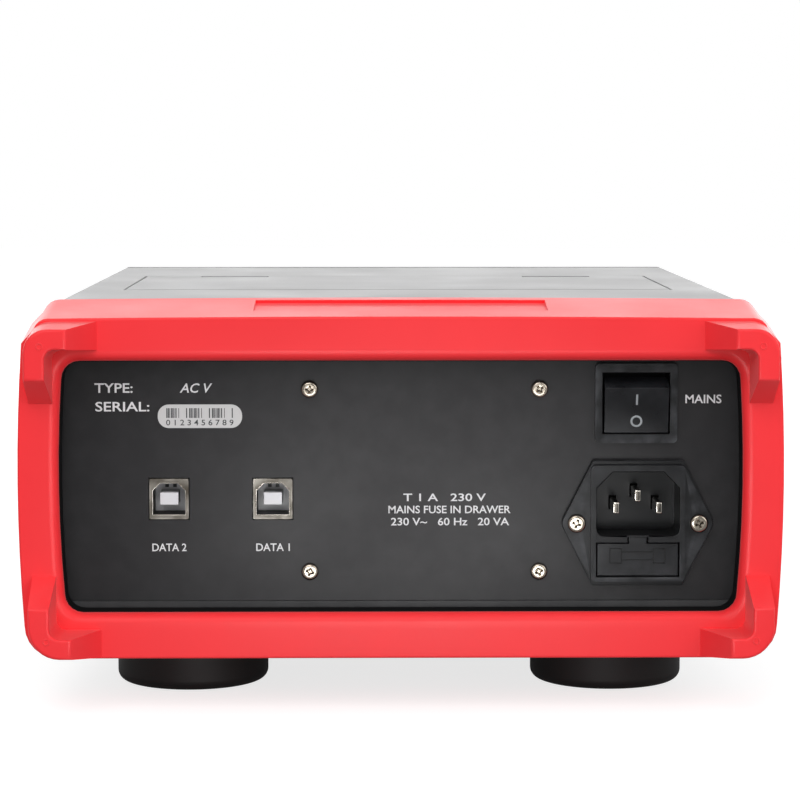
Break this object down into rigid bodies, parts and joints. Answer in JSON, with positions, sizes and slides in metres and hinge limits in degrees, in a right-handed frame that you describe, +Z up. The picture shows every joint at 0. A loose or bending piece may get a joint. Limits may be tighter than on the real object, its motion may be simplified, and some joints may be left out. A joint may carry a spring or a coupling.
{
  "type": "bench ac millivoltmeter",
  "caption": "Bench AC millivoltmeter with a rubber rear frame, mains inlet with fuse drawer, rocker switch, data ports, a storage lid and round feet.",
  "frame": {"origin": "on the ground, under the middle of the instrument's box", "axes": "+Z up, the front panel faces -Y, the rear panel with the connectors faces +Y, +X is the left side seen from behind"},
  "size_m": [0.249, 0.337, 0.1336],
  "materials": {
    "case_light": "fine textured moulded shell, light grey",
    "case_dark": "fine textured moulded shell, dark grey",
    "rubber_red": "satin red thermoplastic rubber",
    "panel_dark": "satin dark grey powder coat",
    "plastic_black": "satin black moulding",
    "smoked": "smoked clear plastic window",
    "board_green": "solder-masked circuit board",
    "nickel": "nickel plate",
    "steel": "zinc plated steel",
    "insulator_white": "white moulded insulator",
    "gold": "gold plated contact",
    "foot_black": "matte black rubber",
    "leg_grey": "satin dark moulding",
    "lamination": "varnished lamination stack",
    "winding": "yellow polyester tape over the winding",
    "aluminium": "extruded, plain",
    "can_blue": "sleeved can",
    "tin": "tinned sheet",
    "key_grey": "satin light grey key",
    "fuse_glass": "glass tube with metal caps",
    "port_steel": "nickel plated shell"
  },
  "bodies": {
    "case": {"bottom_case": "case_dark", "top_cover": "case_light", "rear_bumper": "rubber_red", "rear_panel": "panel_dark", "front_bezel": "case_dark", "front_panel": "panel_dark", "display_window": "smoked", "display_module": "plastic_black", "front_board": "board_green", "key_switches": "plastic_black", "bnc_body_left": "nickel", "bnc_body_right": "nickel", "bnc_inserts": "insulator_white", "bnc_contacts": "gold", "bnc_nuts": "nickel", "storage_tray": "case_light", "lid_hinge_pins": "steel", "foot_rear_left": "foot_black", "foot_rear_right": "foot_black", "foot_front_left": "foot_black", "foot_front_right": "foot_black", "foot_screws": "steel", "leg_pins": "steel", "case_screws": "steel", "transformer_core": "lamination", "transformer_bobbin": "plastic_black", "transformer_winding": "winding", "transformer_spacers": "steel", "transformer_screws": "nickel", "transformer_nuts": "steel", "switch_body": "plastic_black", "inlet_body": "plastic_black", "inlet_pins": "nickel", "inlet_screws": "nickel", "inlet_nuts": "steel", "port_shell_left": "port_steel", "port_shell_right": "port_steel", "port_inserts": "insulator_white", "port_board": "board_green", "port_pillars": "gold", "main_board": "board_green", "board_screws": "steel", "channel_shields": "tin", "reservoir_capacitors": "can_blue", "heat_sink": "aluminium"},
    "storage_lid": {"storage_lid": "case_light"},
    "switch_rocker": {"switch_rocker": "plastic_black"},
    "fuse_drawer": {"fuse_drawer": "plastic_black", "fuse": "fuse_glass"},
    "tilt_leg_left": {"tilt_leg_left": "leg_grey"},
    "tilt_leg_right": {"tilt_leg_right": "leg_grey"},
    "key_left": {"key_left": "key_grey"},
    "key_right": {"key_right": "key_grey"},
    "key_auto": {"key_auto": "key_grey"},
    "key_hold": {"key_hold": "key_grey"},
    "key_volt": {"key_volt": "key_grey"},
    "key_decibel": {"key_decibel": "key_grey"},
    "key_up": {"key_up": "key_grey"},
    "key_down": {"key_down": "key_grey"}
  },
  "joints": [
    {"name": "lid_hinge", "type": "hinge", "parent": "case", "child": "storage_lid", "pos_m": [0, 0.0331, 0.128], "axis": [-1, 0, 0], "range_deg": [0, 95]},
    {"name": "rocker_tilt", "type": "hinge", "parent": "case", "child": "switch_rocker", "pos_m": [-0.0767, 0.137, 0.1004], "axis": [1, 0, 0], "range_deg": [0, 26]},
    {"name": "fuse_drawer_slide", "type": "slide", "parent": "case", "child": "fuse_drawer", "axis": [0, 1, 0], "range_m": [0, 0.024]},
    {"name": "tilt_leg_left_hinge", "type": "hinge", "parent": "case", "child": "tilt_leg_left", "pos_m": [0.0715, -0.1215, 0.0045], "axis": [-1, 0, 0], "range_deg": [0, 95]},
    {"name": "tilt_leg_right_hinge", "type": "hinge", "parent": "case", "child": "tilt_leg_right", "pos_m": [-0.0715, -0.1215, 0.0045], "axis": [-1, 0, 0], "range_deg": [0, 95]},
    {"name": "key_left_press", "type": "slide", "parent": "case", "child": "key_left", "axis": [0, 1, 0], "range_m": [0, 0.0012], "stiffness_N_per_m": 500, "springref_m": -0.0006},
    {"name": "key_right_press", "type": "slide", "parent": "case", "child": "key_right", "axis": [0, 1, 0], "range_m": [0, 0.0012], "stiffness_N_per_m": 500, "springref_m": -0.0006},
    {"name": "key_auto_press", "type": "slide", "parent": "case", "child": "key_auto", "axis": [0, 1, 0], "range_m": [0, 0.0012], "stiffness_N_per_m": 500, "springref_m": -0.0006},
    {"name": "key_hold_press", "type": "slide", "parent": "case", "child": "key_hold", "axis": [0, 1, 0], "range_m": [0, 0.0012], "stiffness_N_per_m": 500, "springref_m": -0.0006},
    {"name": "key_volt_press", "type": "slide", "parent": "case", "child": "key_volt", "axis": [0, 1, 0], "range_m": [0, 0.0012], "stiffness_N_per_m": 500, "springref_m": -0.0006},
    {"name": "key_decibel_press", "type": "slide", "parent": "case", "child": "key_decibel", "axis": [0, 1, 0], "range_m": [0, 0.0012], "stiffness_N_per_m": 500, "springref_m": -0.0006},
    {"name": "key_up_press", "type": "slide", "parent": "case", "child": "key_up", "axis": [0, 1, 0], "range_m": [0, 0.0012], "stiffness_N_per_m": 500, "springref_m": -0.0006},
    {"name": "key_down_press", "type": "slide", "parent": "case", "child": "key_down", "axis": [0, 1, 0], "range_m": [0, 0.0012], "stiffness_N_per_m": 500, "springref_m": -0.0006}
  ]
}
